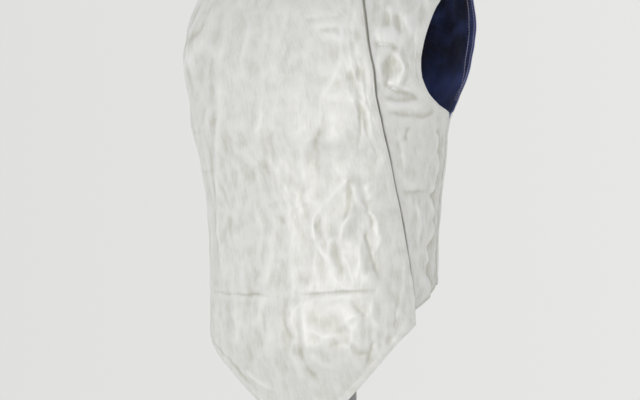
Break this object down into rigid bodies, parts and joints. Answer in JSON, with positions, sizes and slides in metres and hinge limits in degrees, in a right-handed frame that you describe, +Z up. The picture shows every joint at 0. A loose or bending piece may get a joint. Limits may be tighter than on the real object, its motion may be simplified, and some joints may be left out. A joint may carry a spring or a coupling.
{
  "type": "fencing vest on a display stand",
  "caption": "Sleeveless metallic fencing vest with a wrapped, lapped front and pointed flap, filled out and hung on the shoulder yoke of a plain pole stand.",
  "frame": {"origin": "centre of the flat underside of the stand's base, below the pole", "axes": "+Z up along the pole, -Y the way the vest's front faces, +X towards the wearer's left"},
  "size_m": [0.3951, 0.3593, 1.0808],
  "materials": {
    "metallic_cloth": "silver-white woven metallic cloth with a soft sheen and fine upright ribs",
    "lining": "matt navy woven lining",
    "stand_metal": "satin grey powder coat",
    "stand_yoke": "matt pale grey moulding"
  },
  "bodies": {
    "root": {"front_over": "metallic_cloth", "front_over_lining": "lining", "front_under": "metallic_cloth", "front_under_lining": "lining", "back": "metallic_cloth", "back_lining": "lining", "collar": "metallic_cloth", "stand_base": "stand_metal", "stand_pole": "stand_metal", "stand_yoke": "stand_yoke"}
  },
  "joints": []
}
